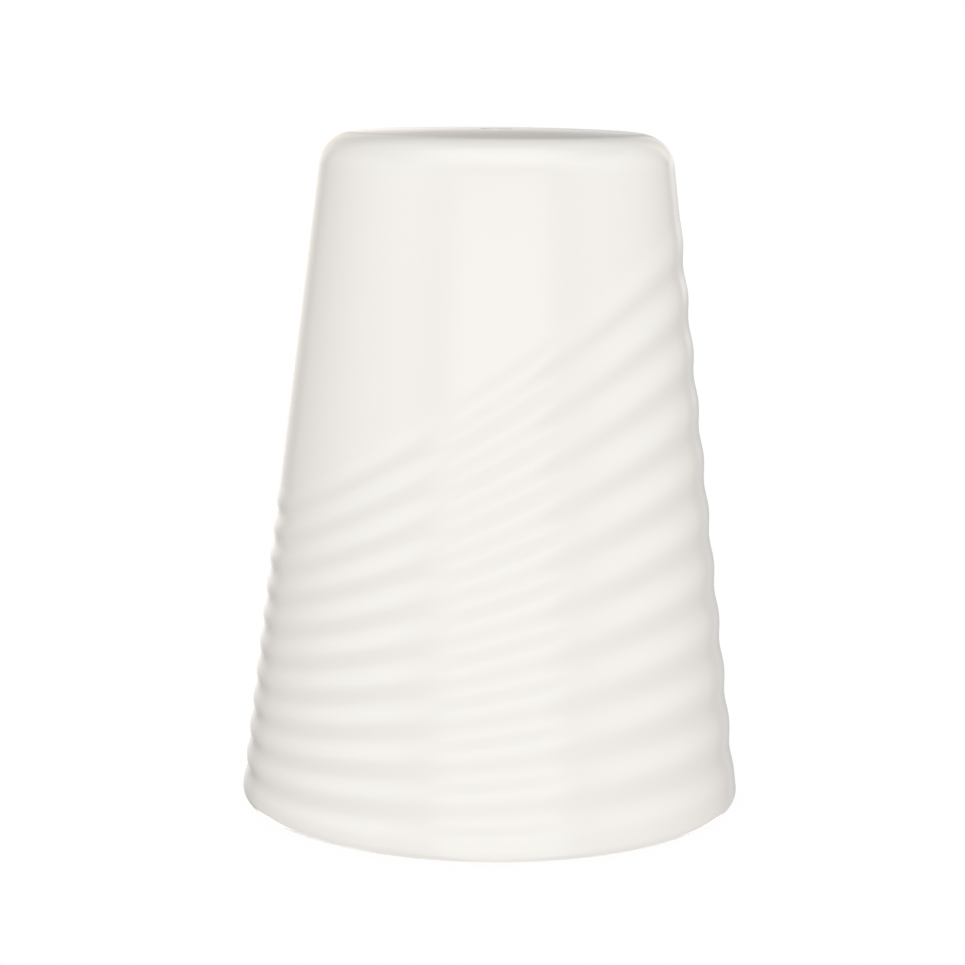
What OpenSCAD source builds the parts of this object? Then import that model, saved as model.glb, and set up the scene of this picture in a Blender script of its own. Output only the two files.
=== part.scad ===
// Salt shaker: a tapered porcelain body with a fan of moulded ripples round its side.
// It pours through a hole in the top and is filled from below, through a hole that a soft stopper closes.
// Millimetres. The foot stands on z = 0, the axis is Z, and the fan of ripples climbs highest towards +X.

/* [Body] */
// Height of the body
body_h = 75; // [65:0.5:90]
// Diameter of the straight side, carried down to the table
foot_d = 56.1; // [50:0.1:64]
// Diameter of the straight side, carried up to the height of the top
top_d = 38.3; // [32:0.1:44]
// Radius of the rounded edge round the top
top_edge_r = 4; // [2:0.1:6]
// Height of the top's middle above its edge
top_crown = 0.35; // [0.1:0.05:1.5]
// Radius of the edge round the foot
foot_edge_r = 1.1; // [0.5:0.1:1.5]
// Thickness of the side wall
wall_t = 3.6; // [2.5:0.1:5]
// Thickness of the top at its edge
top_t = 4; // [3:0.1:6]
// Radius of the corner between wall and top, inside
inner_top_r = 3; // [1:0.1:5]
// Radius of the corner between wall and floor, inside
inner_floor_r = 2.5; // [1:0.1:4]

/* [Ripples] */
// Number of grooves in the fan
groove_n = 10; // [6:1:12]
// Depth of a groove below the ridges beside it
ripple_depth = 0.26; // [0.1:0.02:0.5]
// Plain height between the ripples and the top's rounded edge, where the fan is highest
plain_high = 4.9; // [1:0.1:10]
// Plain height between the ripples and the top's rounded edge, where the fan is lowest
plain_low = 35.5; // [20:0.1:45]

/* [Pour hole] */
// Diameter of the pour hole in the middle of the top
pour_d = 2.4; // [1.5:0.1:4]
// Width of the softened rim round the pour hole
pour_rim = 0.4; // [0.2:0.1:0.8]

/* [Underside] */
// Width of the foot ring's rest face, with its softened inner edge
foot_ring_w = 4; // [2.5:0.1:6]
// Depth of the recess inside the foot ring
recess_depth = 3; // [2:0.1:5]
// Slope of the foot ring's inner wall, in degrees
recess_slope = 20; // [0:1:40]
// Radius of the corner between recess and foot ring
recess_corner_r = 1.5; // [0.5:0.1:2]
// Width of the softened inner edge of the foot ring
ring_soft = 0.4; // [0.2:0.1:0.8]
// Thickness of the floor round the fill hole
floor_t = 3.5; // [2.5:0.1:6]
// Diameter of the fill hole
fill_d = 20; // [16:0.5:26]
// Width of the softened edges of the fill hole
fill_soft = 0.4; // [0.2:0.1:0.8]

/* [Stopper] */
// Width by which the flange overlaps the floor round the fill hole
flange_lip = 3; // [2:0.1:5]
// Thickness of the flange
flange_t = 1.5; // [1:0.1:2]
// Gap between the plug and the fill hole, all round
plug_gap = 0.4; // [0.2:0.05:0.8]
// Gap between the sealing beads and the fill hole, all round
seal_gap = 0.05; // [0.02:0.01:0.1]
// Radius of a sealing bead's round
bead_r = 0.8; // [0.5:0.05:1]
// Number of sealing beads
bead_n = 2; // [1:1:2]
// Height of the plug above the floor
nose_h = 3.5; // [2:0.1:6]
// Amount by which the plug's nose narrows, all round
nose_taper = 1.2; // [0.5:0.1:2]
// Thickness of the stopper's wall and nose
stopper_wall = 2; // [1.2:0.1:2.5]
// Thickness of the grip bar between the stopper's two pockets
grip_t = 2.2; // [1.5:0.1:3]

/* [Hidden] */
$fn = 96;

// Facets of the outer skin: columns round the axis, rows in a ripple and in the other stretches
columns = 60;
ripple_rows = 6;
foot_rows = 3;
plain_rows = 3;
edge_rows = 6;
crown_rows = 3;

// The side: its slope, and its radius at a height
taper = atan((foot_d - top_d) / 2 / body_h);
function side_r(z) = foot_d / 2 - z * tan(taper);

// The top: its edge is a round that touches the side, and its crown is a sphere that touches the round
edge_cz = body_h - top_crown - top_edge_r;
edge_start_z = edge_cz + top_edge_r * sin(taper);
edge_cr = side_r(edge_start_z) - top_edge_r * cos(taper);
crown_rise = top_edge_r + top_crown;
crown_r = (pow(edge_cr, 2) + pow(crown_rise, 2) - pow(top_edge_r, 2)) / 2 / top_crown;
crown_angle = asin(edge_cr / (crown_r - top_edge_r));

// The fan: its grooves divide the height from the table to its highest line evenly, so the pitch
// swings from side to side. An angle is counted from -Y, towards +X.
ripple_end = groove_n + 1;
pitch_high = (edge_start_z - plain_high) / ripple_end;
pitch_low = (edge_start_z - plain_low) / ripple_end;
function pitch(angle) = (pitch_high + pitch_low) / 2 + (pitch_high - pitch_low) / 2 * sin(angle);

// Height of the skin above the plain cone, by the number of ripples counted up from the table:
// level below the first ridge, waves up to the last ridge, and then an easy run-out to the plain cone
ridge_h = ripple_depth / 2;
last_ridge = groove_n + 0.5;
function relief(n) = n <= 0.5 ? ridge_h
    : n <= last_ridge ? -ridge_h * cos(360 * n)
    : n < ripple_end ? ridge_h * (1 + cos(360 * (n - last_ridge))) / 2
    : 0;

// The foot's edge is a round that touches the lowest ridge
foot_cr = side_r(foot_edge_r * (1 + sin(taper))) + ridge_h - foot_edge_r * cos(taper);

// A point on the skin at an angle
function on_skin(r, z, angle) = [r * sin(angle), -r * cos(angle), z];
function on_round(cr, cz, round_r, tilt, angle) =
    on_skin(cr + round_r * cos(tilt), cz + round_r * sin(tilt), angle);
function on_ripple(n, angle) =
    let (z = n * pitch(angle))
    on_skin(side_r(z) + relief(n), z, angle);
function on_plain(share, angle) =
    let (low = ripple_end * pitch(angle), z = low + share * (edge_start_z - low))
    on_skin(side_r(z), z, angle);
function on_crown(tilt, angle) = on_skin(crown_r * sin(tilt), body_h - crown_r * (1 - cos(tilt)), angle);

// Rings of the skin from the foot to the crown, and the faces between them
angles = [for (i = [0:columns - 1]) 360 * i / columns];
skin_rings = [
    for (i = [0:foot_rows])
        [for (a = angles)
            on_round(foot_cr, foot_edge_r, foot_edge_r, -90 + (90 + taper) * i / foot_rows, a)],
    for (i = [0:(ripple_end - 0.5) * ripple_rows])
        [for (a = angles) on_ripple(0.5 + i / ripple_rows, a)],
    for (i = [1:plain_rows - 1])
        [for (a = angles) on_plain(i / plain_rows, a)],
    for (i = [0:edge_rows])
        [for (a = angles)
            on_round(edge_cr, edge_cz, top_edge_r, taper + (90 - crown_angle - taper) * i / edge_rows, a)],
    for (i = [1:crown_rows - 1])
        [for (a = angles) on_crown(crown_angle * (1 - i / crown_rows), a)]
];
ring_n = len(skin_rings);
apex = ring_n * columns;
function at(ring, column) = ring * columns + column % columns;
skin_points = [for (ring = skin_rings) each ring, [0, 0, body_h]];
skin_faces = [
    [for (i = [0:columns - 1]) at(0, i)],
    for (k = [0:ring_n - 2], i = [0:columns - 1])
        each [[at(k, i), at(k + 1, i), at(k + 1, i + 1)], [at(k, i), at(k + 1, i + 1), at(k, i + 1)]],
    for (i = [0:columns - 1]) [at(ring_n - 1, i), apex, at(ring_n - 1, i + 1)]
];

// The cavity: it follows the side at the wall's thickness
floor_z = recess_depth + floor_t;
cavity_top_z = body_h - top_crown - top_t;
function cavity_r(z) = side_r(z) - wall_t / cos(taper);
// Centre of a round that touches the cavity's side, by its height
function cavity_round_r(z, round_r) = cavity_r(z) - round_r / cos(taper);

// The underside
recess_r = foot_cr - foot_ring_w;
recess_ceiling_r = recess_r - recess_depth * tan(recess_slope);
recess_corner_w = recess_corner_r * tan((90 - recess_slope) / 2);

// The stopper, from its seat on the floor's underside
hole_r = fill_d / 2;
seat_z = recess_depth;
flange_r = hole_r + flange_lip;
plug_r = hole_r - plug_gap;
nose_z = floor_z + nose_h;
hollow_r = plug_r - stopper_wall;
hollow_top_z = nose_z - stopper_wall;

// Small overlap for cuts that run out through a face, and for joins
cut = 1;

module cavity_profile() {
    low_z = floor_z + inner_floor_r;
    high_z = cavity_top_z - inner_top_r;
    low_r = cavity_round_r(low_z, inner_floor_r);
    high_r = cavity_round_r(high_z, inner_top_r);
    polygon([
        [0, floor_z],
        [low_r, floor_z],
        [low_r + inner_floor_r * cos(taper), low_z + inner_floor_r * sin(taper)],
        [high_r + inner_top_r * cos(taper), high_z + inner_top_r * sin(taper)],
        [high_r, cavity_top_z],
        [0, cavity_top_z]
    ]);
    translate([low_r, low_z]) circle(inner_floor_r);
    translate([high_r, high_z]) circle(inner_top_r);
}

module recess_profile() {
    corner_r = recess_ceiling_r - recess_corner_w;
    polygon([
        [0, -cut],
        [recess_r + ring_soft + cut, -cut],
        [recess_r - ring_soft * tan(recess_slope), ring_soft],
        [recess_ceiling_r + recess_corner_w * sin(recess_slope),
            recess_depth - recess_corner_w * cos(recess_slope)],
        [corner_r, recess_depth],
        [0, recess_depth]
    ]);
    translate([corner_r, recess_depth - recess_corner_r]) circle(recess_corner_r);
}

module fill_hole_profile() {
    polygon([
        [0, seat_z - cut],
        [hole_r + fill_soft + cut, seat_z - cut],
        [hole_r, seat_z + fill_soft],
        [hole_r, floor_z - fill_soft],
        [hole_r + fill_soft + cut, floor_z + cut],
        [0, floor_z + cut]
    ]);
}

module pour_hole() {
    translate([0, 0, cavity_top_z - cut])
        cylinder(d = pour_d, h = body_h - cavity_top_z + 2 * cut);
    translate([0, 0, body_h - pour_rim])
        cylinder(d1 = pour_d, d2 = pour_d + 4 * pour_rim, h = 2 * pour_rim);
}

module porcelain_body() {
    color("linen") difference() {
        polyhedron(skin_points, skin_faces);
        rotate_extrude() cavity_profile();
        rotate_extrude() recess_profile();
        rotate_extrude() fill_hole_profile();
        pour_hole();
    }
}

module stopper_profile() {
    flange_round = flange_t / 2;
    polygon([
        [0, seat_z - flange_t],
        [flange_r - flange_round, seat_z - flange_t],
        [flange_r - flange_round, seat_z],
        [plug_r, seat_z],
        [plug_r, floor_z],
        [plug_r - nose_taper, nose_z],
        [0, nose_z]
    ]);
    translate([flange_r - flange_round, seat_z - flange_round]) circle(flange_round);
    for (i = [0:bead_n - 1])
        translate([hole_r - seal_gap - bead_r, seat_z + floor_t * (i + 0.5) / bead_n]) circle(bead_r);
}

module stopper_pockets() {
    under_z = seat_z - flange_t - cut;
    pocket_h = hollow_top_z - under_z;
    difference() {
        translate([0, 0, under_z]) cylinder(r = hollow_r, h = pocket_h);
        translate([-flange_r, -grip_t / 2, under_z - cut])
            cube([2 * flange_r, grip_t, pocket_h + 2 * cut]);
    }
}

module base_stopper() {
    color("whitesmoke") difference() {
        rotate_extrude() stopper_profile();
        stopper_pockets();
    }
}

porcelain_body();
base_stopper();
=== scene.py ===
# %% [markdown]
# # A glazed porcelain salt shaker
# The real shaker is one fired piece of porcelain: a tapered cup turned upside down, with a fan of
# ripples moulded round its side. Salt leaves by the hole in the top. The body has no lid and no
# seam, so it is taken to be filled from below, through a hole that a soft stopper closes. The packed
# CAD model is the fixed frame. Its two solids are made of flat facets, so this lesson lays finer
# surfaces over them, gives those their glaze and their rubber, and sets up the studio.

# %% Load the frame
import math

import bmesh
import bpy
import numpy as np
from mathutils import Matrix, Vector
from mathutils.geometry import delaunay_2d_cdt


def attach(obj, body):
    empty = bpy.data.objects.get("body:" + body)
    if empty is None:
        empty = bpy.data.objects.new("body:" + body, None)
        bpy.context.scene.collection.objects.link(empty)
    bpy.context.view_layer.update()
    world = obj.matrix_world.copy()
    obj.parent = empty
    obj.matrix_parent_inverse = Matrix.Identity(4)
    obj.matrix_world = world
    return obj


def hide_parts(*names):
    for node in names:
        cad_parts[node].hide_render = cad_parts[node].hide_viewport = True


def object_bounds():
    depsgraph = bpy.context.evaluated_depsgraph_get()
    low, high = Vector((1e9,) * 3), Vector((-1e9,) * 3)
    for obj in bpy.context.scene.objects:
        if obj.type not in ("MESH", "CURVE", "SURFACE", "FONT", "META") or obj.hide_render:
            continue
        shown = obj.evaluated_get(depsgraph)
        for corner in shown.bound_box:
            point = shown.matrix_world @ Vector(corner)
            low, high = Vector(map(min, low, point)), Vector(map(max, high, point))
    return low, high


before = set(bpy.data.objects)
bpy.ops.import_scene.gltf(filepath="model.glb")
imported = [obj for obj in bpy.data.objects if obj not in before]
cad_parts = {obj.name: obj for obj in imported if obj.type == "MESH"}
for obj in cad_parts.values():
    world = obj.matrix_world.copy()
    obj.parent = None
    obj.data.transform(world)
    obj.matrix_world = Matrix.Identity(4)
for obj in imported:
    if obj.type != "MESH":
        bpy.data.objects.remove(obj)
cad_low, cad_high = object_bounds()
MM = 0.001
cad_box_mm = [round(v / MM, 2) for v in (*cad_low, *cad_high)]
print("CAD nodes:", len(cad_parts), "in a box of, in mm:", cad_box_mm)

# %% [markdown]
# ## The camera
# The photograph was taken from a little above the shaker's top, tilted down, with a long lens and a
# hair of roll. The distance, height and lens were fitted to the outline and the ripple lines, and
# the real camera may have stood about a degree higher. One could aim a camera by eye or by a
# constraint, but this one is built from its own numbers, so that the render and the photograph
# share one frame.

# %% Camera
CAMERA_DISTANCE = 294.1 * MM
CAMERA_HEIGHT = 85.6 * MM
CAMERA_TILT = math.radians(9.64)
CAMERA_ROLL = math.radians(0.60)
CAMERA_NEAR = 10 * MM
LENS_IN_MM = 99.2
SENSOR_IN_MM = 36.0
PHOTO_SIDE_PX = 965
OBJECT_OFFSET_PX = 10.2


def make_camera():
    """A camera in front of the shaker, turned up from straight down to its tilt, then rolled."""
    data = bpy.data.cameras.new("camera")
    data.sensor_width = SENSOR_IN_MM
    data.lens = LENS_IN_MM
    data.shift_x = -OBJECT_OFFSET_PX / PHOTO_SIDE_PX
    data.clip_start = CAMERA_NEAR
    camera = bpy.data.objects.new("camera", data)
    bpy.context.scene.collection.objects.link(camera)
    place = Matrix.Translation((0, -CAMERA_DISTANCE, CAMERA_HEIGHT))
    tilt = Matrix.Rotation(math.pi / 2 - CAMERA_TILT, 4, "X")
    roll = Matrix.Rotation(CAMERA_ROLL, 4, "Z")
    camera.matrix_world = place @ tilt @ roll
    bpy.context.scene.camera = camera
    return camera


camera = make_camera()
print("camera: lens", camera.data.lens, "mm, place", tuple(round(v, 4) for v in camera.location))

# %% [markdown]
# ## The side and its ripples
# The side is a straight cone. Ten grooves run round it and share the height below the fan's upper
# end evenly, so the ripples lie close on one side and spread out like a fan on the other. One could
# sculpt them or push the surface with a texture, but they are a regular wave, so a formula is
# shorter and exact: count the ripples up from the table, and let a cosine of that count move the
# surface in and out by an eighth of a millimetre.

# %% Sizes of the body
BODY_H = 75 * MM
FOOT_R = 28.05 * MM
TOP_R = 19.15 * MM
TOP_EDGE_R = 4 * MM
TOP_CROWN = 0.35 * MM
FOOT_EDGE_R = 1.1 * MM
GROOVES = 10
RIPPLE_DEPTH = 0.26 * MM
PLAIN_HIGH = 4.9 * MM
PLAIN_LOW = 35.5 * MM

SLOPE = (FOOT_R - TOP_R) / BODY_H
TAPER = math.atan(SLOPE)
RIDGE = RIPPLE_DEPTH / 2
FIRST_RIDGE = 0.5
LAST_RIDGE = GROOVES + FIRST_RIDGE
RIPPLE_END = GROOVES + 1

# The round of the top's edge touches the cone below it and the crown's sphere above it
EDGE_CZ = BODY_H - TOP_CROWN - TOP_EDGE_R
EDGE_START_Z = EDGE_CZ + TOP_EDGE_R * math.sin(TAPER)
EDGE_CR = FOOT_R - SLOPE * EDGE_START_Z - TOP_EDGE_R * math.cos(TAPER)
CROWN_R = (EDGE_CR**2 + (TOP_EDGE_R + TOP_CROWN) ** 2 - TOP_EDGE_R**2) / 2 / TOP_CROWN
CROWN_ANGLE = math.asin(EDGE_CR / (CROWN_R - TOP_EDGE_R))
PITCH_HIGH = (EDGE_START_Z - PLAIN_HIGH) / RIPPLE_END
PITCH_LOW = (EDGE_START_Z - PLAIN_LOW) / RIPPLE_END
print("ripple pitch in mm: low side", round(PITCH_LOW / MM, 2), "high side", round(PITCH_HIGH / MM, 2))


# %% Formulas of the side and the top
def side_radius(z):
    """Radius of the plain cone at a height: the foot's radius less the slope times the height."""
    return FOOT_R - SLOPE * z


def pitch(angle):
    """Height of one ripple: its mean, swung by the sine of the angle from the front towards +X."""
    return (PITCH_HIGH + PITCH_LOW) / 2 + (PITCH_HIGH - PITCH_LOW) / 2 * np.sin(angle)


def relief(count):
    """Height of the surface over the cone: level to the first ridge, a wave to the last, a run-out."""
    wave = -RIDGE * np.cos(2 * np.pi * count)
    run_out = RIDGE * (1 + np.cos(2 * np.pi * (count - LAST_RIDGE))) / 2
    above = np.where(count < RIPPLE_END, run_out, 0.0)
    return np.where(count <= FIRST_RIDGE, RIDGE, np.where(count <= LAST_RIDGE, wave, above))


def crown_height(r):
    """Height of the crown's sphere at a distance from the axis."""
    return BODY_H - CROWN_R + np.sqrt(CROWN_R**2 - r**2)


FOOT_CR = side_radius(FOOT_EDGE_R * (1 + math.sin(TAPER))) + RIDGE - FOOT_EDGE_R * math.cos(TAPER)
print("crown's sphere:", round(CROWN_R / MM), "mm, foot's flat rim at:", round(FOOT_CR / MM, 2), "mm")

# %% [markdown]
# ## From arrays to a mesh
# A round surface is a grid: rows go along its outline and columns go round an axis. Each patch is
# an array of points with the faces between them, and a piece joins its patches where their edge
# points meet. One could spin an outline with Blender's own tools, but the ripples differ from column
# to column. Doing this on whole arrays keeps the script quick, and the same helpers serve the body
# and the stopper.


# %% Grids of points and their faces
def turned(r, z, angles):
    """Points of an outline turned round the axis, with angles counted from -Y towards +X."""
    r, z, a = np.broadcast_arrays(r, z, angles)
    return np.stack([r * np.sin(a), -r * np.cos(a), z], axis=-1)


def round_angles(count):
    """Even angles all the way round, as a row."""
    return np.linspace(0, 2 * np.pi, count, endpoint=False)[None, :]


def ring_patch(points):
    """A grid whose columns close on themselves, with a quad between each pair of rows and columns."""
    rows, columns = points.shape[:2]
    row, column = np.meshgrid(np.arange(rows - 1), np.arange(columns), indexing="ij")
    beside = (column + 1) % columns
    corners = [row * columns + column, row * columns + beside]
    corners += [(row + 1) * columns + beside, (row + 1) * columns + column]
    return points.reshape(-1, 3), np.stack(corners, axis=-1).reshape(-1, 4)


tube_points, tube_faces = ring_patch(turned(1.0, np.arange(3)[:, None], round_angles(8)))
print("a tube of 3 rows and 8 columns:", len(tube_points), "points,", len(tube_faces), "faces")

# %% [markdown]
# ## The rippled skin
# Rows of the skin's grid follow the ripples instead of lying level, so every ridge and groove has
# its own row and none is cut into steps. Below the ripples is the round of the foot, above them the
# plain cone, the round of the top's edge, the crown, and the soft rim of the pour hole in its
# middle.

# %% Skin of the body
COLUMNS = 256
ROWS_PER_RIPPLE = 14
FOOT_ROWS = 10
PLAIN_ROWS = 16
EDGE_ROWS = 20
CROWN_ROWS = 24
RIM_ROWS = 8
POUR_R = 1.2 * MM
POUR_RIM = 0.55 * MM
RIM_CR = POUR_R + POUR_RIM
RIM_CZ = crown_height(RIM_CR) - POUR_RIM


def skin_points():
    """Rows of points from the foot to the pour hole: round, ripples, cone, round, crown and rim."""
    angles = round_angles(COLUMNS)

    def on_round(cr, cz, radius, start, stop, rows):
        """Rows on an arc: its centre plus its radius times the cosine and sine of an even tilt."""
        tilt = np.linspace(start, stop, rows)[:, None]
        return turned(cr + radius * np.cos(tilt), cz + radius * np.sin(tilt), angles)

    ripple_rows = round((RIPPLE_END - FIRST_RIDGE) * ROWS_PER_RIPPLE) + 1
    count = np.linspace(FIRST_RIDGE, RIPPLE_END, ripple_rows)[:, None]
    ripple_z = count * pitch(angles)
    share = np.linspace(0, 1, PLAIN_ROWS + 1)[1:-1, None]
    plain_z = ripple_z[-1:] + share * (EDGE_START_Z - ripple_z[-1:])
    crown = np.linspace(CROWN_R * math.sin(CROWN_ANGLE), RIM_CR, CROWN_ROWS + 1)[1:-1, None]
    edge_stop = math.pi / 2 - CROWN_ANGLE
    return np.concatenate([
        on_round(FOOT_CR, FOOT_EDGE_R, FOOT_EDGE_R, -math.pi / 2, TAPER, FOOT_ROWS),
        turned(side_radius(ripple_z) + relief(count), ripple_z, angles),
        turned(side_radius(plain_z), plain_z, angles),
        on_round(EDGE_CR, EDGE_CZ, TOP_EDGE_R, TAPER, edge_stop, EDGE_ROWS),
        turned(crown, crown_height(crown), angles),
        on_round(RIM_CR, RIM_CZ, POUR_RIM, math.pi / 2, math.pi, RIM_ROWS),
    ])


skin = skin_points()
print("skin grid:", skin.shape[:2])

# %% [markdown]
# ## The inside and the underside
# The pour hole leads down into the salt space. Under the foot ring the base is recessed, with a
# round fill hole. The photograph doesn't show these, so they follow what such shakers have. All of
# it is turned round the axis from one outline, which starts where the skin ends and ends where it
# starts. The outline is written as corners with a radius each, as on a drawing, and a helper puts
# the arcs in. Points gather near the arcs, so that flat stretches stay flat when shaded smooth.
# Bevels could round the corners too, but only by one width for all.

# %% Outlines with rounded corners
ARC_STEPS = 7
STRETCH_STEPS = 8


def rounded(corners):
    """An outline through corners (across, up, radius): an arc at each corner, and between the arcs
    straight stretches whose points gather towards their ends by a cosine."""
    spots = np.array([(across, up) for across, up, radius in corners], float)
    radii = [radius for across, up, radius in corners]
    ends = [(spots[0], spots[0])]
    arcs = [spots[:1]]
    for before, here, after, radius in zip(spots, spots[1:], spots[2:], radii[1:]):
        back = (before - here) / np.linalg.norm(before - here)
        ahead = (after - here) / np.linalg.norm(after - here)
        half = math.acos(np.clip(back @ ahead, -1, 1)) / 2
        middle = here + (back + ahead) / np.linalg.norm(back + ahead) * radius / math.sin(half)
        start, stop = here + back * radius / math.tan(half), here + ahead * radius / math.tan(half)
        turn = np.linspace(0, 1, ARC_STEPS + 1)[:, None]
        sweep = math.pi - 2 * half
        first, last = np.sin((1 - turn) * sweep), np.sin(turn * sweep)
        arcs.append(middle + (first * (start - middle) + last * (stop - middle)) / math.sin(sweep))
        ends.append((start, stop))
    ends.append((spots[-1], spots[-1]))
    arcs.append(spots[-1:])
    share = (1 - np.cos(np.pi * np.linspace(0, 1, STRETCH_STEPS + 1)))[1:-1, None] / 2
    outline = [arcs[0]]
    for (_, leave), (reach, _), arc in zip(ends, ends[1:], arcs[1:]):
        outline += [leave + share * (reach - leave), arc]
    return np.concatenate(outline)


bend = rounded([(0, 0, 0), (1, 0, 0.2), (1, 1, 0)])
print("an outline with one rounded corner:", len(bend), "points")

# %% Inside and underside of the body
WALL = 3.6 * MM
TOP_T = 4 * MM
INNER_TOP_ROUND = 3 * MM
INNER_FLOOR_ROUND = 2.5 * MM
FLOOR_T = 3.5 * MM
FILL_R = 10 * MM
FILL_UPPER_ROUND = 0.7 * MM
FILL_LOWER_ROUND = 0.5 * MM
RECESS_DEPTH = 3 * MM
RECESS_SLOPE = math.radians(20)
RECESS_ROUND = 1.5 * MM
FOOT_RING_W = 4 * MM
FOOT_RING_ROUND = 0.6 * MM
FLOOR_Z = RECESS_DEPTH + FLOOR_T
CEILING_Z = BODY_H - TOP_CROWN - TOP_T
RECESS_R = FOOT_CR - FOOT_RING_W


def cavity_radius(z):
    """Radius of the salt space: the cone less the wall's thickness square to it."""
    return side_radius(z) - WALL / math.cos(TAPER)


inside_outline = rounded([
    (POUR_R, RIM_CZ, 0),
    (POUR_R, CEILING_Z, POUR_RIM),
    (cavity_radius(CEILING_Z), CEILING_Z, INNER_TOP_ROUND),
    (cavity_radius(FLOOR_Z), FLOOR_Z, INNER_FLOOR_ROUND),
    (FILL_R, FLOOR_Z, FILL_UPPER_ROUND),
    (FILL_R, RECESS_DEPTH, FILL_LOWER_ROUND),
    (RECESS_R - RECESS_DEPTH * math.tan(RECESS_SLOPE), RECESS_DEPTH, RECESS_ROUND),
    (RECESS_R, 0, FOOT_RING_ROUND),
    (FOOT_CR, 0, 0),
])
inside = turned(inside_outline[:, :1], inside_outline[:, 1:], round_angles(COLUMNS))
print("inside grid:", inside.shape[:2])

# %% The whole body
MERGE_GAP = 0.002 * MM


def make_piece(name, patches):
    """One smooth mesh object from patches of points and faces, joined where edge points meet."""
    starts = np.cumsum([0] + [len(points) for points, faces in patches])
    points = np.concatenate([points for points, faces in patches])
    faces = [face for start, (_, patch) in zip(starts, patches) for face in (patch + start).tolist()]
    mesh = bpy.data.meshes.new(name)
    mesh.from_pydata(points.tolist(), [], faces)
    shape = bmesh.new()
    shape.from_mesh(mesh)
    bmesh.ops.remove_doubles(shape, verts=shape.verts, dist=MERGE_GAP)
    volume = shape.calc_volume(signed=True)
    open_edges = sum(not edge.is_manifold for edge in shape.edges)
    shape.to_mesh(mesh)
    shape.free()
    mesh.shade_smooth()
    piece = bpy.data.objects.new(name, mesh)
    bpy.context.scene.collection.objects.link(piece)
    mesh.calc_loop_triangles()
    count = len(mesh.loop_triangles)
    print(f"{name}: {count} triangles, {volume / MM**3:.0f} mm3, {open_edges} open edges")
    return piece


body = make_piece("porcelain_shell", [ring_patch(inside), ring_patch(skin)])
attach(body, "shaker")
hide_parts("porcelain_body")

# %% [markdown]
# ## The stopper
# A soft stopper closes the fill hole. The photograph doesn't show it, so its form is a guess. Its
# flange lies against the floor's underside, its plug has two beads that seal the hole, and two
# pockets in the underside leave a bar between them to pinch and pull. It could be stacked from
# cylinders with bevels, but one turned outline gives flange, beads and nose a single smooth surface.

# %% Outline of the stopper
FLANGE_LIP = 3 * MM
FLANGE_T = 1.5 * MM
FLANGE_LOWER_ROUND = 0.7 * MM
FLANGE_UPPER_ROUND = 0.5 * MM
UNDERSIDE_MARGIN = 0.8 * MM
NECK_H = 0.3 * MM
NECK_ROUND = 0.25 * MM
PLUG_GAP = 0.4 * MM
SEAL_GAP = 0.05 * MM
BEADS = 2
BEAD_W = 0.55 * MM
BEAD_ROWS = 48
NOSE_H = 3.5 * MM
NOSE_TAPER = 1.2 * MM
NOSE_ROUND = 1.0 * MM
NOSE_DISC_R = 0.05 * MM
FLANGE_R = FILL_R + FLANGE_LIP
PLUG_R = FILL_R - PLUG_GAP
BEAD_R = FILL_R - SEAL_GAP
SEAT_Z = RECESS_DEPTH
FLANGE_Z = SEAT_Z - FLANGE_T
NOSE_Z = FLOOR_Z + NOSE_H


def stopper_outline():
    """Outline from the underside, round the flange, up the plug and over the nose. A bead swells the
    plug by a bell curve of the height over the bead's middle."""
    flange = rounded([
        (FLANGE_R - UNDERSIDE_MARGIN, FLANGE_Z, 0),
        (FLANGE_R, FLANGE_Z, FLANGE_LOWER_ROUND),
        (FLANGE_R, SEAT_Z, FLANGE_UPPER_ROUND),
        (PLUG_R, SEAT_Z, NECK_ROUND),
        (PLUG_R, SEAT_Z + NECK_H, 0),
    ])
    z = np.linspace(SEAT_Z + NECK_H, FLOOR_Z, BEAD_ROWS)[1:-1]
    beads = SEAT_Z + FLOOR_T * (np.arange(BEADS) + 0.5) / BEADS
    swell = np.exp(-(((z[:, None] - beads) / BEAD_W) ** 2)).sum(axis=1)
    plug = np.stack([PLUG_R + (BEAD_R - PLUG_R) * np.minimum(swell, 1), z], axis=1)
    nose = rounded([
        (PLUG_R, FLOOR_Z, 0),
        (PLUG_R - NOSE_TAPER, NOSE_Z, NOSE_ROUND),
        (NOSE_DISC_R, NOSE_Z, 0),
    ])
    return np.concatenate([flange, plug, nose])


plug_outline = stopper_outline()
print("stopper outline:", len(plug_outline), "points, up to", round(NOSE_Z / MM, 1), "mm")

# %% [markdown]
# ## The pockets and the face round them
# The pockets lie off the axis and break the rule of rows and columns, and a boolean cut would leave
# hard edges. So each pocket is a grid of its own, with a soft edge, and the flat underside is filled
# with triangles between the outer outline and the outlines of the pockets.

# %% Pockets of the stopper
STOPPER_WALL = 2 * MM
GRIP_T = 2.2 * MM
POCKET_CORNER = 1.0 * MM
POCKET_EDGE = 0.4 * MM
POCKET_FLOOR = 1.0 * MM
POCKET_DRAFT = 0.25 * MM
POCKET_LEAST = 0.02 * MM
POCKET_FLOOR_RINGS = (0.3, 0.6, 0.85, 0.995)
CORNER_POINTS = 14
ARC_POINTS = 50
BAR_POINTS = 18
ROUND_ROWS = 8
HOLLOW_R = PLUG_R - STOPPER_WALL
HOLLOW_Z = NOSE_Z - STOPPER_WALL


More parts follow.
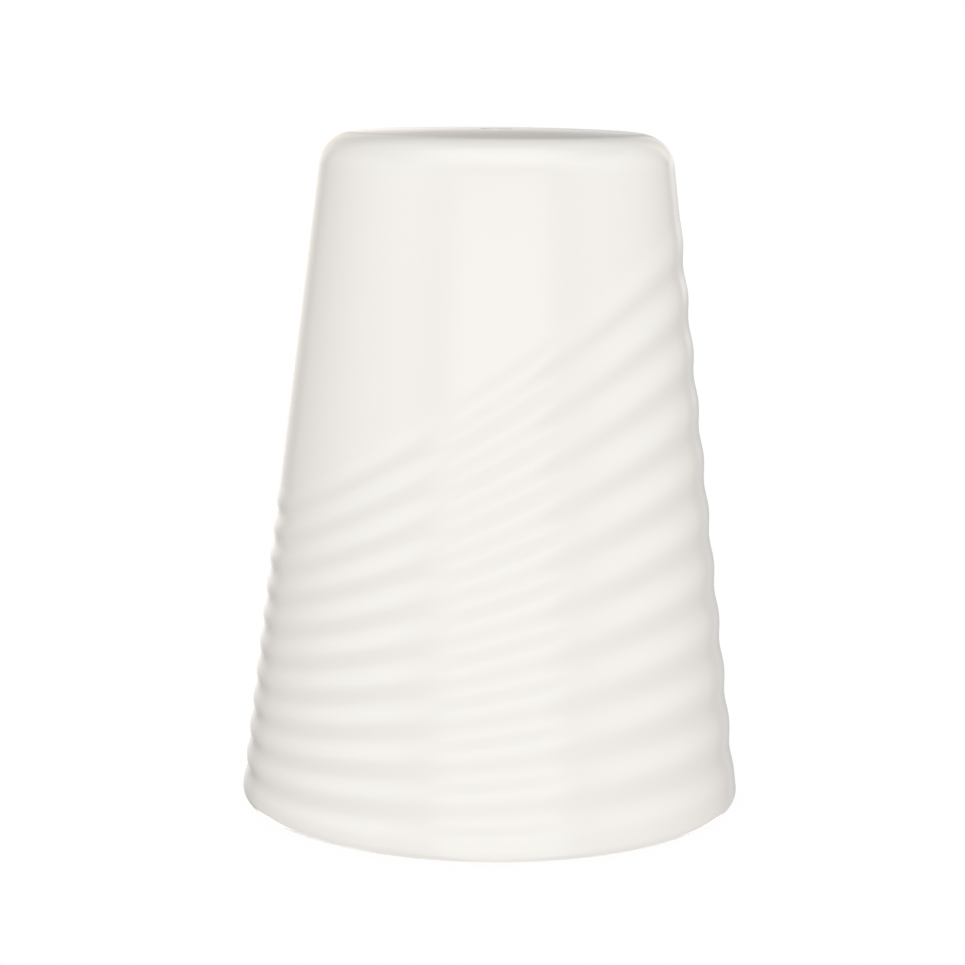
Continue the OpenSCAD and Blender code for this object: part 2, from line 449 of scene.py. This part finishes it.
def pocket_points():
    """A pocket: a D with round corners that goes in by a round edge, a drafted wall and a round floor.
    Each outline point is a place on a smaller D plus an amount along the outward direction there."""
    chord_y = GRIP_T / 2 + POCKET_CORNER
    arc_r = HOLLOW_R - POCKET_CORNER
    corner = math.asin(chord_y / arc_r)
    facing = np.concatenate([
        np.linspace(-math.pi / 2, corner, CORNER_POINTS),
        np.linspace(corner, math.pi - corner, ARC_POINTS)[1:-1],
        np.linspace(math.pi - corner, 1.5 * math.pi, CORNER_POINTS),
        np.full(BAR_POINTS, 1.5 * math.pi),
    ])
    on_arc = np.clip(facing, corner, math.pi - corner)
    base = arc_r * np.stack([np.cos(on_arc), np.sin(on_arc)], axis=1)
    base[-BAR_POINTS:, 0] = np.linspace(base[-BAR_POINTS - 1, 0], base[0, 0], BAR_POINTS + 2)[1:-1]
    out = np.stack([np.cos(facing), np.sin(facing)], axis=1)
    turn = np.linspace(0, math.pi / 2, ROUND_ROWS)
    edge_out, edge_z = POCKET_EDGE * (1 - np.sin(turn)), POCKET_EDGE * (1 - np.cos(turn))
    floor_out = -POCKET_DRAFT - POCKET_FLOOR * (1 - np.cos(turn))
    floor_z = HOLLOW_Z - FLANGE_Z - POCKET_FLOOR * (1 - np.sin(turn))
    amount = POCKET_CORNER + np.concatenate([edge_out, floor_out])
    depth = FLANGE_Z + np.concatenate([edge_z, floor_z])
    outline = base[None] + np.maximum(amount, POCKET_LEAST)[:, None, None] * out[None]
    share = np.array(POCKET_FLOOR_RINGS)[:, None, None]
    floor = outline[-1] + share * (base.mean(axis=0) - outline[-1])
    flat = np.concatenate([outline, floor])
    height = np.concatenate([depth, np.full(len(share), depth[-1])])
    return np.concatenate([flat, np.broadcast_to(height[:, None, None], (*flat.shape[:2], 1))], axis=2)


back_pocket = pocket_points()
print("pocket grid:", back_pocket.shape[:2])

# %% Flat faces with holes in them
FILL_SPACING = 0.7 * MM
CLEAR_OF_RIMS = 0.6
TRIANGLES_IN_HULL = 0
SAME_SPOT = 1e-9


def lies_inside(points, outline):
    """True for points inside a convex outline that runs anticlockwise: they lie left of every edge."""
    edge = np.roll(outline, -1, axis=0) - outline
    away = points[:, None, :] - outline[None, :, :]
    return np.all(edge[None, :, 0] * away[..., 1] - edge[None, :, 1] * away[..., 0] >= 0, axis=1)


def closed_loop(start, count):
    """Edges that join each point of an outline to the next, and the last to the first."""
    steps = np.arange(count)
    return np.stack([start + steps, start + (steps + 1) % count], axis=1)


def filled(outer, holes, spacing):
    """Flat points and triangles, on an even lattice, that fill a convex outline round convex holes."""
    reach = np.abs(outer).max()
    steps = np.arange(-reach, reach, spacing)
    across, up = np.meshgrid(steps, steps * math.sqrt(3) / 2)
    across = across + (np.arange(len(steps)) % 2)[:, None] * spacing / 2
    lattice = np.stack([across.ravel(), up.ravel()], axis=1)
    rims = np.concatenate([outer, *holes])
    gaps = np.linalg.norm(lattice[:, None, :] - rims[None, :, :], axis=2).min(axis=1)
    keep = lies_inside(lattice, outer) & (gaps > spacing * CLEAR_OF_RIMS)
    for hole in holes:
        keep &= ~lies_inside(lattice, hole)
    counts = [len(rim) for rim in (outer, *holes)]
    starts = np.cumsum([0] + counts)
    edges = np.concatenate([closed_loop(start, count) for start, count in zip(starts, counts)])
    points = np.concatenate([rims, lattice[keep]])
    made = delaunay_2d_cdt(points.tolist(), edges.tolist(), [], TRIANGLES_IN_HULL, SAME_SPOT)
    points, faces = np.array([tuple(p) for p in made[0]]), np.array(made[2])
    middles = points[faces].mean(axis=1)
    for hole in holes:
        outside = ~lies_inside(middles, hole)
        faces, middles = faces[outside], middles[outside]
    return points, faces


square = 5 * MM * np.array([(-1, -1), (1, -1), (1, 1), (-1, 1)])
print("a square of 10 mm is filled with", len(filled(square, [], FILL_SPACING)[1]), "triangles")

# %% The whole stopper
STOPPER_COLUMNS = 160


def closed_end(points):
    """The last row of a grid, with one face over it."""
    return points[-1], np.arange(points.shape[1])[None]


def stopper_patches(outline, back):
    """The turned outside, the two pockets, and the flat underside filled round them."""
    outside = turned(outline[:, :1], outline[:, 1:], round_angles(STOPPER_COLUMNS))
    front = back * (-1, -1, 1)
    points, faces = filled(outside[0, :, :2], [back[0, :, :2], front[0, :, :2]], FILL_SPACING)
    under = np.column_stack([points, np.full(len(points), FLANGE_Z)])
    patches = [ring_patch(outside), closed_end(outside), (under, faces[:, ::-1])]
    for pocket in (back, front):
        end_points, end_faces = closed_end(pocket)
        patches += [ring_patch(pocket[:, ::-1]), (end_points[::-1], end_faces)]
    return patches


stopper = make_piece("stopper_plug", stopper_patches(plug_outline, back_pocket))
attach(stopper, "stopper")
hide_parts("base_stopper")

# %% [markdown]
# ## Effects that both finishes share
# Neither a glaze nor a moulded rubber is quite even. Clouds a few millimetres wide shift colour and
# gloss a little, and a fine grain breaks up the surface where it is matt. Both materials need both,
# so each effect is a node group, built once and placed with its own sizes. A group hands out masks
# and heights only, and the shader itself stays in the material.


# %% Soft clouds
def add_node(tree, kind, values=None, **settings):
    """A new node, with settings such as its operation, and values for its sockets by name or number."""
    node = tree.nodes.new(kind)
    for setting, value in settings.items():
        setattr(node, setting, value)
    for socket, value in (values or {}).items():
        node.inputs[socket].default_value = value
    return node


def new_group(name, vectors, numbers, outputs):
    """An empty shader group: names of vector inputs, number inputs with values, and number outputs."""
    group = bpy.data.node_groups.new(name, "ShaderNodeTree")
    for label in vectors:
        group.interface.new_socket(label, in_out="INPUT", socket_type="NodeSocketVector")
    for label, value in numbers.items():
        socket = group.interface.new_socket(label, in_out="INPUT", socket_type="NodeSocketFloat")
        socket.default_value = value
    for label in outputs:
        group.interface.new_socket(label, in_out="OUTPUT", socket_type="NodeSocketFloat")
    return group, group.nodes.new("NodeGroupInput"), group.nodes.new("NodeGroupOutput")


def make_soft_mottle():
    """Clouds: a noise with a little finer detail, its middle range stretched to run from 0 to 1."""
    group, given, result = new_group("soft_mottle", ["Place"], {"Scale": 200.0}, ["Clouds"])
    noise = add_node(group, "ShaderNodeTexNoise", {"Detail": 2.0})
    stretch = add_node(group, "ShaderNodeMapRange", {"From Min": 0.3, "From Max": 0.7})
    group.links.new(given.outputs["Place"], noise.inputs["Vector"])
    group.links.new(given.outputs["Scale"], noise.inputs["Scale"])
    group.links.new(noise.outputs["Fac"], stretch.inputs["Value"])
    group.links.new(stretch.outputs["Result"], result.inputs["Clouds"])
    return group


soft_mottle = make_soft_mottle()
print("group:", soft_mottle.name, "of", len(soft_mottle.nodes), "nodes")


# %% Fine grain
def make_fine_grain():
    """Grain: a height mixed from small hollows, one in each cell, and a noise that roughens them."""
    numbers = {"Scale": 3000.0, "Roughening": 0.5}
    group, given, result = new_group("fine_grain", ["Place"], numbers, ["Height"])
    cells = add_node(group, "ShaderNodeTexVoronoi")
    noise = add_node(group, "ShaderNodeTexNoise", {"Detail": 4.0})
    mix = add_node(group, "ShaderNodeMix")
    for texture in (cells, noise):
        group.links.new(given.outputs["Place"], texture.inputs["Vector"])
        group.links.new(given.outputs["Scale"], texture.inputs["Scale"])
    group.links.new(given.outputs["Roughening"], mix.inputs["Factor"])
    group.links.new(cells.outputs["Distance"], mix.inputs["A"])
    group.links.new(noise.outputs["Fac"], mix.inputs["B"])
    group.links.new(mix.outputs["Result"], result.inputs["Height"])
    return group


fine_grain = make_fine_grain()
print("group:", fine_grain.name, "of", len(fine_grain.nodes), "nodes")

# %% [markdown]
# ## The cream glaze
# The glaze is a clear glass over a cream-white body. In the fire it flows: it gathers a little in
# the grooves and looks creamier there, and its surface stays faintly wavy, so that reflections of
# the lights wander at their edges. The grooves also carry a painted shade, a touch darker than the
# ridges, which so read as a faint painted highlight. The ring that the shaker stands on is out of
# the photograph's view. It is taken as wiped clean before the fire, as such rings are, and shows
# bare porcelain, matt and grainy. A painted map could hold all this, but formulas do it without
# one: the depth of the groove is stored on the mesh as an attribute, for both the pooled glaze and
# the painted shade, and the bare ring is the part of the body below a wandering height.

# %% Groove depth as an attribute
EVEN_POOL_AND_SHADE = 0.5


def store_groove_glaze_and_shade(piece):
    """Pooled glaze and painted shade at each point: 1 in a groove, 0 on a ridge, and a half elsewhere."""
    mesh = piece.data
    places = np.empty(len(mesh.vertices) * 3)
    mesh.vertices.foreach_get("co", places)
    x, y, z = places.reshape(-1, 3).T
    count = z / pitch(np.arctan2(x, -y))
    outside = np.hypot(x, y) > side_radius(z) - WALL / 2
    pool_and_shade = np.where(outside, EVEN_POOL_AND_SHADE - relief(count) / RIPPLE_DEPTH, EVEN_POOL_AND_SHADE)
    mesh.attributes.new("groove_glaze_and_shade", "FLOAT", "POINT").data.foreach_set("value", pool_and_shade)
    return pool_and_shade


# Pooled glaze and painted shade for each point of the body
pool_and_shade = store_groove_glaze_and_shade(body)
print("glaze pool from", round(float(pool_and_shade.min()), 2), "to", round(float(pool_and_shade.max()), 2))

# %% Helpers that link a material's nodes
# A Mix node has a set of sockets for each kind of value, so those for colours go by number
COLOUR_A, COLOUR_B, COLOUR_RESULT = 6, 7, 2


def new_material(name):
    """A material with its tree, its shader and the object's own coordinates."""
    material = bpy.data.materials.new(name)
    material.use_nodes = True
    tree = material.node_tree
    place = add_node(tree, "ShaderNodeTexCoord").outputs["Object"]
    return material, tree, tree.nodes["Principled BSDF"], place


def place_group(tree, group, place, **numbers):
    """A group in a material, read at a place, with its own numbers. The result is its one output."""
    node = add_node(tree, "ShaderNodeGroup", node_tree=group)
    for label, value in numbers.items():
        node.inputs[label].default_value = value
    tree.links.new(place, node.inputs["Place"])
    return node.outputs[0]


def mix_colours(tree, factor, first, second):
    """A colour between two: each is a fixed colour or another node's output."""
    mix = add_node(tree, "ShaderNodeMix", data_type="RGBA")
    for socket, colour in ((COLOUR_A, first), (COLOUR_B, second)):
        if isinstance(colour, tuple):
            mix.inputs[socket].default_value = colour
        else:
            tree.links.new(colour, mix.inputs[socket])
    tree.links.new(factor, mix.inputs["Factor"])
    return mix.outputs[COLOUR_RESULT]


def mix_numbers(tree, factor, first, second):
    """A number between two: each is a fixed number or another node's output."""
    mix = add_node(tree, "ShaderNodeMix")
    for socket, number in (("A", first), ("B", second)):
        if isinstance(number, (int, float)):
            mix.inputs[socket].default_value = number
        else:
            tree.links.new(number, mix.inputs[socket])
    tree.links.new(factor, mix.inputs["Factor"])
    return mix.outputs["Result"]


def add_bump(tree, height, distance, below=None):
    """A bump of some depth in metres from a height, on top of another bump if there is one."""
    bump = add_node(tree, "ShaderNodeBump", {"Distance": distance})
    tree.links.new(height, bump.inputs["Height"])
    if below is not None:
        tree.links.new(below, bump.inputs["Normal"])
    return bump.outputs["Normal"]


# %% Glaze material
CREAM = (0.860, 0.850, 0.830, 1)
# The grooves' cream: deeper glaze there, with a painted shade
DEEP_CREAM_AND_SHADE = (0.856, 0.842, 0.816, 1)
GLAZE_ROUGHNESS = (0.05, 0.09)
GLAZE_CLOUDS = 140.0
GLAZE_WAVES = 230.0
GLAZE_WAVE_DEPTH = 0.006 * MM
GLAZE_LINE = 0.35 * MM
GLAZE_WANDER = 0.25 * MM
GLAZE_EDGE = 0.08 * MM
BARE_PORCELAIN = (0.80, 0.775, 0.73, 1)
BARE_ROUGHNESS = 0.65
BARE_GRAIN = dict(Scale=4500.0, Roughening=0.6)
BARE_GRAIN_DEPTH = 0.05 * MM


def bare_ring_mask(tree, place, clouds):
    """1 on the bare ring, 0 on the glaze: the height, moved by the clouds, crosses the glaze line."""
    height = add_node(tree, "ShaderNodeSeparateXYZ")
    wander = add_node(tree, "ShaderNodeMath", {1: GLAZE_WANDER}, operation="MULTIPLY_ADD")
    line = GLAZE_LINE + GLAZE_WANDER / 2
    edge = {"From Min": line + GLAZE_EDGE, "From Max": line}
    mask = add_node(tree, "ShaderNodeMapRange", edge, interpolation_type="SMOOTHSTEP")
    tree.links.new(place, height.inputs[0])
    tree.links.new(clouds, wander.inputs[0])
    tree.links.new(height.outputs["Z"], wander.inputs[2])
    tree.links.new(wander.outputs[0], mask.inputs["Value"])
    return mask.outputs["Result"]


def make_cream_glaze():
    """Cream glass, deeper with painted shade in the grooves, faintly cloudy and wavy, with a bare foot
    ring.
    """
    material, tree, shader, place = new_material("cream_glaze")
    clouds = place_group(tree, soft_mottle, place, Scale=GLAZE_CLOUDS)
    waves = place_group(tree, soft_mottle, place, Scale=GLAZE_WAVES)
    grain = place_group(tree, fine_grain, place, **BARE_GRAIN)
    pool_and_shade = add_node(tree, "ShaderNodeAttribute", attribute_name="groove_glaze_and_shade").outputs["Fac"]
    bare = bare_ring_mask(tree, place, waves)

    # The grooves' pooled glaze and painted shade, evened out where the clouds are thick
    depth = mix_numbers(tree, clouds, pool_and_shade, EVEN_POOL_AND_SHADE)
    glazed_and_shaded = mix_colours(tree, depth, CREAM, DEEP_CREAM_AND_SHADE)
    grainy = mix_colours(tree, grain, BARE_PORCELAIN, CREAM)
    tree.links.new(mix_colours(tree, bare, glazed_and_shaded, grainy), shader.inputs["Base Color"])
    gloss = mix_numbers(tree, clouds, *GLAZE_ROUGHNESS)
    tree.links.new(mix_numbers(tree, bare, gloss, BARE_ROUGHNESS), shader.inputs["Roughness"])
    wavy = add_bump(tree, waves, GLAZE_WAVE_DEPTH)
    grain_height = mix_numbers(tree, bare, 0.0, grain)
    tree.links.new(add_bump(tree, grain_height, BARE_GRAIN_DEPTH, wavy), shader.inputs["Normal"])
    return material


glaze = make_cream_glaze()
body.data.materials.append(glaze)
print("glaze:", len(glaze.node_tree.nodes), "nodes")

# %% [markdown]
# ## The milky silicone
# The stopper is moulded from soft silicone. It is matt from the mould's blasted surface and lets a
# little light in, so its edges glow instead of going dark. The shader's subsurface does that, and
# the two shared groups give it the clouds and the grain that a flat colour lacks.

# %% Silicone material
MILKY = (0.74, 0.74, 0.72, 1)
MILKY_THIN = (0.66, 0.665, 0.655, 1)
SILICONE_ROUGHNESS = (0.40, 0.62)
SILICONE_CLOUDS = 260.0
SILICONE_GRAIN = dict(Scale=6000.0, Roughening=0.35)
SILICONE_GRAIN_DEPTH = 0.02 * MM
GLOW_SHARE = 0.3
GLOW_BY_COLOUR = (1.0, 0.9, 0.8)
GLOW_REACH = 1.5 * MM


def make_milky_silicone():
    """Cloudy translucent rubber with the fine grain of its mould."""
    material, tree, shader, place = new_material("milky_silicone")
    clouds = place_group(tree, soft_mottle, place, Scale=SILICONE_CLOUDS)
    grain = place_group(tree, fine_grain, place, **SILICONE_GRAIN)
    tree.links.new(mix_colours(tree, clouds, MILKY, MILKY_THIN), shader.inputs["Base Color"])
    tree.links.new(mix_numbers(tree, grain, *SILICONE_ROUGHNESS), shader.inputs["Roughness"])
    tree.links.new(add_bump(tree, grain, SILICONE_GRAIN_DEPTH), shader.inputs["Normal"])
    shader.inputs["Subsurface Weight"].default_value = GLOW_SHARE
    shader.inputs["Subsurface Radius"].default_value = GLOW_BY_COLOUR
    shader.inputs["Subsurface Scale"].default_value = GLOW_REACH
    return material


silicone = make_milky_silicone()
stopper.data.materials.append(silicone)
print("silicone:", len(silicone.node_tree.nodes), "nodes")

# %% [markdown]
# ## The studio
# A glossy white thing is lit by what it mirrors. The photograph's reflections suggest a set: a wide
# white card in front, on each side a softbox with a glow round it and a dark gap beside the card, a
# long light overhead, a dim warm room, two cards and two pieces of wall behind, and a bright table.
# Area lights could stand there, but their hard rims would show in the glaze. So the set is painted
# on the sky as soft panels whose edges fade. A panel is a window in two angles, one round its axis
# and one along it, where it rises and falls. The axis is upright for all but the overhead light,
# whose axis runs from left to right, so that it draws an even line along the edge of the top. Most
# of the angles, and the strengths and tints, come from a separate program's fit to the photograph,
# rounded. The light of the table behind was then lowered.

# %% The panels, with their angles in degrees
UPRIGHT, SIDEWAYS = (0, 0, 1), (1, 0, 0)
BELOW_ALL, ABOVE_ALL = (-120, -100), (100, 120)
WHITE, COOL, WARM = (1.0, 1.0, 1.0), (0.975, 1.013, 1.013), (1.080, 0.989, 0.931)
PLAIN_PANEL = dict(axis=UPRIGHT, facing=0, tilt=0, rise=BELOW_ALL, fall=ABOVE_ALL, tint=COOL)
STUDIO = {
    "front card": dict(facing=5, turn=(20, 38), rise=(-42, -6), fall=(6, 17), light=1.08),
    "right softbox": dict(facing=96, turn=(37, 52), rise=(-16, 12), fall=(36, 46), light=0.19),
    "right glow": dict(facing=86, turn=(3, 60), rise=(-15, 13), fall=(32, 52), light=0.88),
    "left softbox": dict(facing=-91, turn=(36, 52), rise=(-18, 17), fall=(6, 56), light=0.27),
    "left glow": dict(facing=-71, turn=(3, 64), rise=(-19, 20), fall=(4, 54), light=1.20),
    "top light": dict(axis=SIDEWAYS, tilt=68, turn=(6, 41), rise=(-60, -11), fall=(11, 60), light=1.44),
    "room": dict(turn=(131, 158), light=0.37, tint=WARM),
    "right back card": dict(facing=161, turn=(7, 18), rise=(-6, 8), fall=(-16, 46), light=1.15, tint=WARM),
    "left back card": dict(facing=198, turn=(6, 24), rise=(-26, 7), fall=(3, 36), light=1.05, tint=WARM),
    "right wall": dict(facing=150, turn=(4, 16), rise=(2, 14), fall=(48, 62), light=0.30, tint=WARM),
    "far wall": dict(facing=175, turn=(2, 8), rise=(0, 6), fall=(10, 18), light=0.20, tint=WARM),
    "table's far edge": dict(facing=174, turn=(18, 37), fall=(1, 6), light=0.54, tint=WHITE),
    "table in front": dict(facing=7, turn=(26, 48), fall=(-28, -22), light=1.32, tint=WHITE),
    "table behind": dict(facing=184, turn=(43, 50), fall=(-27, -23), light=1.90),
}
print("panels:", ", ".join(STUDIO))


# %% One soft panel as a node group
def make_soft_panel():
    """A panel's light in a direction: the product of three fades, by the turn round the axis away from
    the way the panel faces, and by the angle along the axis where the panel rises and falls."""
    limits = ["Turn Full", "Turn None", "Rise None", "Rise Full", "Fall Full", "Fall None"]
    vectors = ["Direction", "Facing", "Axis"]
    group, given, result = new_group("soft_panel", vectors, dict.fromkeys(limits, 0.0), ["Light"])

    def vector(operation, *sources):
        """A vector operation on other outputs: a number for the dot product, or else a vector."""
        node = add_node(group, "ShaderNodeVectorMath", operation=operation)
        for socket, source in zip(node.inputs, sources):
            group.links.new(source, socket)
        return node.outputs["Value"] if operation == "DOT_PRODUCT" else node.outputs["Vector"]

    def angle(operation, source):
        """The angle in degrees whose cosine or sine is given."""
        turn = add_node(group, "ShaderNodeMath", operation=operation)
        degrees = add_node(group, "ShaderNodeMath", operation="DEGREES")
        group.links.new(source, turn.inputs[0])
        group.links.new(turn.outputs[0], degrees.inputs[0])
        return degrees.outputs[0]

    def fade(value, none, full):
        """A smooth step of a value, from 0 at one limit to 1 at the other."""
        window = add_node(group, "ShaderNodeMapRange", interpolation_type="SMOOTHSTEP")
        group.links.new(value, window.inputs["Value"])
        group.links.new(given.outputs[none], window.inputs["From Min"])
        group.links.new(given.outputs[full], window.inputs["From Max"])
        return window.outputs["Result"]

    def product(first, second):
        """One value times the other."""
        times = add_node(group, "ShaderNodeMath", operation="MULTIPLY")
        group.links.new(first, times.inputs[0])
        group.links.new(second, times.inputs[1])
        return times.outputs[0]

    direction, facing, axis = (given.outputs[name] for name in vectors)
    across = vector("NORMALIZE", vector("SUBTRACT", direction, vector("PROJECT", direction, axis)))
    turn = angle("ARCCOSINE", vector("DOT_PRODUCT", across, facing))
    along = angle("ARCSINE", vector("DOT_PRODUCT", direction, axis))
    sides = fade(turn, "Turn None", "Turn Full")
    ends = product(fade(along, "Rise None", "Rise Full"), fade(along, "Fall None", "Fall Full"))
    group.links.new(product(sides, ends), result.inputs["Light"])
    return group


soft_panel = make_soft_panel()
print("group:", soft_panel.name, "of", len(soft_panel.nodes), "nodes")

# %% [markdown]
# ## The sky
# The panels are placed on the sky one by one, and their lights are added up. The photograph's
# background is plain white, so the camera itself sees white, while the porcelain sees the panels. A
# white wall behind the shaker could do the same, but it would show in the glaze.

# %% The sky
PURE_WHITE = (1, 1, 1, 1)


def towards(azimuth, elevation):
    """The direction at an azimuth from the front towards +X, and an elevation, both in degrees."""
    a, e = math.radians(azimuth), math.radians(elevation)
    return math.cos(e) * math.sin(a), -math.cos(e) * math.cos(a), math.sin(e)


def place_panel(tree, direction, name, panel):
    """A panel's group on the sky, with its angles. The result is its light, from 0 to 1."""
    values = {"Facing": towards(panel["facing"], panel["tilt"]), "Axis": panel["axis"]}
    values |= {"Turn Full": panel["turn"][0], "Turn None": panel["turn"][1]}
    values |= {"Rise None": panel["rise"][0], "Rise Full": panel["rise"][1]}
    values |= {"Fall Full": panel["fall"][0], "Fall None": panel["fall"][1]}
    node = add_node(tree, "ShaderNodeGroup", node_tree=soft_panel, label=name)
    for socket, value in values.items():
        node.inputs[socket].default_value = value
    tree.links.new(direction, node.inputs["Direction"])
    return node.outputs["Light"]


def make_studio():
    """A world whose light is the sum of the panels, and which is plain white to the camera."""
    world = bpy.data.worlds.new("studio")
    world.use_nodes = True
    tree = world.node_tree
    direction = add_node(tree, "ShaderNodeTexCoord").outputs["Generated"]
    total = None
    for name, own_values in STUDIO.items():
        panel = PLAIN_PANEL | own_values
        colour = tuple(panel["light"] * share for share in panel["tint"])
        added = add_node(tree, "ShaderNodeVectorMath", {1: colour}, operation="MULTIPLY_ADD")
        tree.links.new(place_panel(tree, direction, name, panel), added.inputs[0])
        if total is not None:
            tree.links.new(total, added.inputs[2])
        total = added.outputs[0]
    lit = tree.nodes["Background"]
    tree.links.new(total, lit.inputs["Color"])
    seen = add_node(tree, "ShaderNodeBackground", {"Color": PURE_WHITE})
    rays = add_node(tree, "ShaderNodeLightPath")
    choice = add_node(tree, "ShaderNodeMixShader")
    tree.links.new(rays.outputs["Is Camera Ray"], choice.inputs["Fac"])
    tree.links.new(lit.outputs[0], choice.inputs[1])
    tree.links.new(seen.outputs[0], choice.inputs[2])
    tree.links.new(choice.outputs[0], tree.nodes["World Output"].inputs["Surface"])
    return world


studio = make_studio()
bpy.context.scene.world = studio
bpy.context.scene.view_settings.view_transform = "Standard"
print("sky:", len(studio.node_tree.nodes), "nodes")

# %% [markdown]
# ## The floor
# The photograph's floor is pure white, so all that a floor can add is the faint dark line where the
# foot rests. A shadow catcher could draw it, but this studio has no lamp that casts a shadow. So the
# floor is a sheet that lets the white world through and darkens only close to the shaker, by its
# ambient occlusion. It sends no light back, since the white table is part of the studio already,
# and it is clear seen from below.

# %% Floor
FLOOR_SIDE = 600 * MM
FLOOR_DROP = 0.02 * MM
CONTACT_REACH = 3 * MM
CONTACT_SHADE = (0.985, 0.984, 0.982, 1)


def make_floor_material():
    """Clear all over, tinted towards the contact shade by how much of its sky is hidden nearby."""
    material = bpy.data.materials.new("white_floor")
    material.use_nodes = True
    tree = material.node_tree
    tree.nodes.remove(tree.nodes["Principled BSDF"])
    open_sky = add_node(tree, "ShaderNodeAmbientOcclusion", {"Distance": CONTACT_REACH})
    clear = add_node(tree, "ShaderNodeBsdfTransparent")
    shade = mix_colours(tree, open_sky.outputs["AO"], CONTACT_SHADE, PURE_WHITE)
    tree.links.new(shade, clear.inputs["Color"])
    tree.links.new(clear.outputs[0], tree.nodes["Material Output"].inputs["Surface"])
    return material


def make_floor():
    """A square sheet just under the foot, seen by the camera only."""
    half = FLOOR_SIDE / 2
    corners = [(-half, -half), (half, -half), (half, half), (-half, half)]
    mesh = bpy.data.meshes.new("floor")
    mesh.from_pydata([(x, y, -FLOOR_DROP) for x, y in corners], [], [(0, 1, 2, 3)])
    mesh.materials.append(make_floor_material())
    floor = bpy.data.objects.new("floor", mesh)
    bpy.context.scene.collection.objects.link(floor)
    floor.visible_diffuse = False
    floor.visible_glossy = False
    floor.visible_transmission = False
    floor.visible_shadow = False
    return floor


floor = make_floor()
print("floor:", [round(side / MM) for side in floor.dimensions], "mm")
